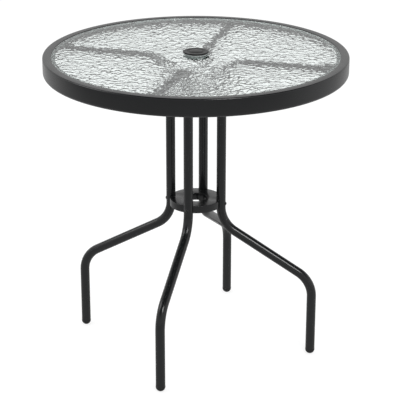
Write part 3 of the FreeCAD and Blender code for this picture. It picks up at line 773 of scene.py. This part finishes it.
class TABLE_OT_cap(bpy.types.Operator):
    """Turn the cap that closes the collar"""
    bl_idname = "table.cap"
    bl_label = "Collar cap"

    def execute(self, context):
        sizes = context.scene.table_sizes
        low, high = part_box("collar_cap")
        radius, plug = high.x, sizes.bore + PLUG_GROWTH
        edge_top = high.z - CAP_CROWN
        edge_low = edge_top - CAP_EDGE
        inner, outer = (high.z - CAP_CROWN * drop for drop in GROOVE_DROPS)
        groove, groove_floor = radius * GROOVE_START, inner - GROOVE_DEPTH
        cap = Profile()
        cap.to(0, high.z)
        cap.to(groove, inner, EASE, 2)
        cap.to(groove + GROOVE_SIDE, groove_floor, FINE_EASE, 2)
        cap.to(groove + GROOVE_SIDE + GROOVE_FLOOR, groove_floor, FINE_EASE, 2)
        cap.to(groove + 2 * GROOVE_SIDE + GROOVE_FLOOR, outer, EASE, 2)
        cap.to(radius, edge_top, CAP_ROUND, 4)
        cap.to(radius, edge_low, EASE, 2)
        cap.to(plug, edge_low)
        cap.to(plug, low.z, CAP_ROUND, 3)
        cap.to(plug - CAP_WALL, low.z, EASE, 2)
        cap.to(plug - CAP_WALL, high.z - CAP_TOP)
        cap.to(0, high.z - CAP_TOP)
        mesh = cap.spun(COLLAR_STEPS)
        dress("bore_cap", mesh, "moulding", "cap", "collar_cap")
        return {"FINISHED"}


class TABLE_OT_ring_plate(bpy.types.Operator):
    """Press the ring plate that ties the four columns"""
    bl_idname = "table.ring_plate"
    bl_label = "Ring plate"

    def execute(self, context):
        sizes = context.scene.table_sizes
        low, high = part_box("centre_ring")
        leg_low, leg_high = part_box("leg_right")
        tube = leg_high.y
        column = leg_low.x + tube
        mesh = notched_disc(column - sizes.ring_inset, sizes.ring_bore, tube + sizes.ring_gap,
                            column, len(SIDES), arc_steps=40, notch_steps=16)
        round_over(mesh, PLATE_ROUND, 4)
        drop_walls(mesh, high.z - low.z - PLATE_ROUND)
        move_all(mesh, (0, 0, high.z - PLATE_ROUND))
        bmesh.ops.recalc_face_normals(mesh, faces=mesh.faces)
        up_face = max(mesh.faces, key=lambda face: face.calc_center_median().z)
        if up_face.normal.z < 0:
            bmesh.ops.reverse_faces(mesh, faces=mesh.faces)
        bmesh.ops.solidify(mesh, geom=mesh.faces[:], thickness=sizes.ring_sheet)
        reach = max(point.co.xy.length for point in mesh.verts)
        if reach > column + WELD:
            raise RuntimeError(f"the ring plate grew outwards to {reach}")
        dress("ring_plate", mesh, "satin_coat", "table", "centre_ring",
              crease=40.0)
        return {"FINISHED"}


def leg_mesh(sizes):
    """The right leg, bent from its foot up."""
    low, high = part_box("leg_right")
    foot_low, foot_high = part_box("foot_cap_right")
    tube = high.y
    column, arm = low.x + tube, high.z - tube
    foot_reach = (foot_low.x + foot_high.x) / 2
    slope = Vector((column - foot_reach, sizes.upper_knee - sizes.lower_knee))
    turn = math.atan2(-slope.x, slope.y)
    setback = sizes.bend * math.tan(turn / 2)
    leg = Tube((foot_reach, 0, low.z), tube, TUBE_SIDES)
    leg.feed(sizes.lower_knee - setback - low.z, steps=2)
    leg.bend(-turn, sizes.bend, BEND_STEPS)
    leg.feed(slope.length - 2 * setback, steps=2)
    leg.bend(turn, sizes.bend, BEND_STEPS)
    leg.feed(arm - sizes.bend - sizes.upper_knee - setback, steps=4)
    leg.bend(QUARTER, sizes.bend, ELBOW_STEPS)
    leg.feed(high.x - column - sizes.bend, steps=3)
    return leg.capped()


class TABLE_OT_legs(bpy.types.Operator):
    """Bend the four legs"""
    bl_idname = "table.legs"
    bl_label = "Legs"

    def execute(self, context):
        for number, side in enumerate(SIDES):
            mesh = leg_mesh(context.scene.table_sizes)
            dress(f"leg_tube_{side}", mesh, "satin_coat", "table",
                  f"leg_{side}", turn=number * QUARTER, crease=60.0)
        return {"FINISHED"}


def foot_mesh():
    """The right foot: a dome with a flat to stand on, and a plug up the tube."""
    low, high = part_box("foot_cap_right")
    tube_low, tube_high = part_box("leg_right")
    tube, mouth = tube_high.y, tube_low.z
    radius, middle = (high.x - low.x) / 2, (high.x + low.x) / 2
    bevel_width, bevel_height = FOOT_BEVEL
    centre = (radius**2 + FOOT_RISE**2 - FOOT_FLAT**2) / (2 * FOOT_RISE)
    sweep_angle = math.atan2(radius, centre - FOOT_RISE) - math.atan2(FOOT_FLAT, centre)
    foot = Profile().to(0, 0).to(FOOT_FLAT, 0).swing(centre, -sweep_angle, DOME_STEPS)
    foot.to(radius, mouth - bevel_height, EASE, 2)
    foot.to(tube - bevel_width, mouth)
    foot.to(tube - PLUG_INSET, mouth)
    foot.to(tube - PLUG_INSET, high.z - PLUG_BEVEL)
    foot.to(tube - PLUG_INSET - PLUG_BEVEL, high.z)
    foot.to(0, high.z)
    mesh = foot.spun(STOP_STEPS)
    move_all(mesh, (middle, 0, 0))
    return mesh


def arm_plug_mesh():
    """The right arm's plug, turned upright and laid along the arm."""
    low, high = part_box("arm_plug_right")
    tube_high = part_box("leg_right")[1]
    tube, mouth = tube_high.y, tube_high.x
    plug = Profile().to(0, low.x)
    plug.to(tube - PLUG_INSET - PLUG_BEVEL, low.x)
    plug.to(tube - PLUG_INSET, low.x + PLUG_BEVEL)
    plug.to(tube - PLUG_INSET, mouth)
    plug.to(tube, mouth)
    plug.to(tube, high.x, ARM_PLUG_ROUND, 4)
    plug.to(0, high.x)
    mesh = plug.spun(STOP_STEPS)
    turn_all(mesh, QUARTER, "Y")
    move_all(mesh, (0, 0, tube_high.z - tube))
    return mesh


class TABLE_OT_stops(bpy.types.Operator):
    """Mould the feet and the plugs that close the arms"""
    bl_idname = "table.stops"
    bl_label = "Feet and arm plugs"

    def execute(self, context):
        for number, side in enumerate(SIDES):
            dress(f"foot_dome_{side}", foot_mesh(), "foot_plastic", "table",
                  f"foot_cap_{side}", turn=number * QUARTER)
            dress(f"arm_stop_{side}", arm_plug_mesh(), "foot_plastic", "table",
                  f"arm_plug_{side}", turn=number * QUARTER)
        return {"FINISHED"}


class TABLE_OT_bolts(bpy.types.Operator):
    """Set the round-headed bolts in the ring plate and under the arms"""
    bl_idname = "table.bolts"
    bl_label = "Bolts"

    def execute(self, context):
        tube_low, tube_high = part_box("leg_right")
        width = 2 * tube_high.y
        column_face, arm_low = tube_low.x + width, tube_high.z - width
        shank_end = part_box("ring_nuts")[1].y - NUT_HEIGHT - SHANK_SHOWS
        low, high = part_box("ring_bolts")
        mesh = bolt_mesh(run=column_face - shank_end, **RING_BOLT)
        turn_all(mesh, QUARTER, "Y")
        move_all(mesh, (column_face, 0, (low.z + high.z) / 2))
        four_times(mesh)
        dress("ring_bolt_set", mesh, "black_bolt", "table", "ring_bolts")
        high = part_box("rim_bolts")[1]
        mesh = bolt_mesh(run=high.z - arm_low, **RIM_BOLT)
        turn_all(mesh, math.pi, "Y")
        move_all(mesh, (high.x - RIM_BOLT["head"], 0, arm_low))
        four_times(mesh)
        dress("rim_bolt_set", mesh, "black_bolt", "table", "rim_bolts")
        return {"FINISHED"}


class TABLE_OT_carried(bpy.types.Operator):
    """Give the CAD's own nuts and brackets their finishes"""
    bl_idname = "table.carried"
    bl_label = "Nuts and brackets"

    def execute(self, context):
        for name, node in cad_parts.items():
            kind = "zinc" if name == "ring_nuts" else "satin_coat"
            node.data.materials.clear()
            node.data.materials.append(finish_of(kind))
        return {"FINISHED"}


def pale_floor():
    """A matt floor that is white to the camera, greyer behind the glass and in mirroring
    pieces, and clear from below."""
    material = bpy.data.materials.new("pale_floor")
    paint = Paint(material)
    camera, mirror, through = paint.node("LightPath", give=(
        "Is Camera Ray", "Is Glossy Ray", "Is Transmission Ray"))
    depth = paint.node("SeparateXYZ", sockets={0: paint.place()}, give="Y")
    mirrored = paint.node("MapRange", {"interpolation_type": "SMOOTHSTEP"},
                          {"Value": depth, **FLOOR_MIRRORED})
    seen = camera * FLOOR_SEEN + mirror * mirrored + through * FLOOR_THROUGH
    glow = paint.node("Emission", sockets={"Strength": seen})
    matt = paint.node("BsdfDiffuse", sockets={"Color": grey(FLOOR_GREY)})
    both = paint.node("AddShader", sockets={0: matt, 1: glow})
    under = paint.node("NewGeometry", give="Backfacing")
    clear = paint.node("BsdfTransparent")
    mixed = paint.node("MixShader", sockets={0: under, 1: both, 2: clear})
    paint.node("OutputMaterial", sockets={"Surface": mixed})
    return material


def studio():
    """A room that is white to the camera, lights matt surfaces evenly, and is shaded by
    height and depth where it is mirrored or seen through the glass."""
    world = bpy.data.worlds.new("studio")
    paint = Paint(world)
    way = paint.node("TexCoord", give="Generated")
    depth, height = paint.node("SeparateXYZ", sockets={0: way}, give=("Y", "Z"))
    by_height = paint.node("ValToRGB", {"stops": ROOM_BY_HEIGHT}, {0: height * 0.5 + 0.5})
    by_depth = paint.node("ValToRGB", {"stops": ROOM_BY_DEPTH}, {0: depth * 0.5 + 0.5})
    room = by_height * by_depth * ROOM_LEVEL + ROOM_LEAST
    camera, matt = paint.node("LightPath", give=("Is Camera Ray", "Is Diffuse Ray"))
    level = paint.blend(matt, room, grey(ROOM_SOFT))
    level = paint.blend(camera, level, grey(1.0))
    sky = paint.node("Background", sockets={"Color": level})
    paint.node("OutputWorld", sockets={"Surface": sky})
    return world


class TABLE_OT_stage(bpy.types.Operator):
    """Set the floor, the light and the photograph's camera"""
    bl_idname = "table.stage"
    bl_label = "Stage"

    def execute(self, context):
        scene = context.scene
        mesh = bmesh.new()
        bmesh.ops.create_grid(mesh, x_segments=FLOOR_SQUARES, y_segments=FLOOR_SQUARES,
                              size=FLOOR_HALF)
        move_all(mesh, (0, 0, -FLOOR_DROP))
        data = bpy.data.meshes.new("floor")
        mesh.to_mesh(data)
        mesh.free()
        data.materials.append(pale_floor())
        floor = bpy.data.objects.new("floor", data)
        scene.collection.objects.link(floor)
        scene.world = studio()
        for name, place, size, power in LAMPS:
            lamp = bpy.data.lights.new(name, "AREA")
            lamp.size, lamp.energy = size, power
            holder = bpy.data.objects.new(name, lamp)
            holder.location = place
            aim = Vector(LAMP_AIM) - Vector(place)
            holder.rotation_euler = aim.to_track_quat("-Z", "Y").to_euler()
            scene.collection.objects.link(holder)
        view = bpy.data.cameras.new("camera")
        view.lens, view.sensor_width, view.shift_x = CAMERA_LENS, CAMERA_SENSOR, CAMERA_SHIFT
        view.clip_end = CAMERA_FAR
        holder = bpy.data.objects.new("camera", view)
        holder.location = (CAMERA_REACH * math.sin(CAMERA_TURN),
                           -CAMERA_REACH * math.cos(CAMERA_TURN), CAMERA_HEIGHT)
        holder.rotation_euler = (QUARTER - CAMERA_TILT, 0, CAMERA_TURN)
        scene.collection.objects.link(holder)
        scene.camera = holder
        scene.view_settings.view_transform = "Standard"
        return {"FINISHED"}


STEPS = (TABLE_OT_rim, TABLE_OT_glass, TABLE_OT_strip, TABLE_OT_collar, TABLE_OT_cap,
         TABLE_OT_ring_plate, TABLE_OT_legs, TABLE_OT_stops, TABLE_OT_bolts, TABLE_OT_carried,
         TABLE_OT_stage)


class TABLE_PT_panel(bpy.types.Panel):
    """The table's sizes, colours and steps"""
    bl_idname = "TABLE_PT_panel"
    bl_label = "Umbrella Table"
    bl_space_type = "VIEW_3D"
    bl_region_type = "UI"
    bl_category = "Table"

    def draw(self, context):
        for title, group in (("Sizes", context.scene.table_sizes),
                             ("Colours", context.scene.table_colours)):
            box = self.layout.box()
            box.label(text=title)
            for name in group.__annotations__:
                box.prop(group, name)
        for step in STEPS:
            self.layout.operator(step.bl_idname)


CLASSES = (TableSizes, TableColours, *STEPS, TABLE_PT_panel)


def register():
    for item in CLASSES:
        bpy.utils.register_class(item)
    bpy.types.Scene.table_sizes = PointerProperty(type=TableSizes)
    bpy.types.Scene.table_colours = PointerProperty(type=TableColours)


def unregister():
    del bpy.types.Scene.table_colours
    del bpy.types.Scene.table_sizes
    for item in reversed(CLASSES):
        bpy.utils.unregister_class(item)


def main():
    register()
    for step in STEPS:
        group, name = step.bl_idname.split(".")
        getattr(getattr(bpy.ops, group), name)()


if __name__ == "__main__":
    main()
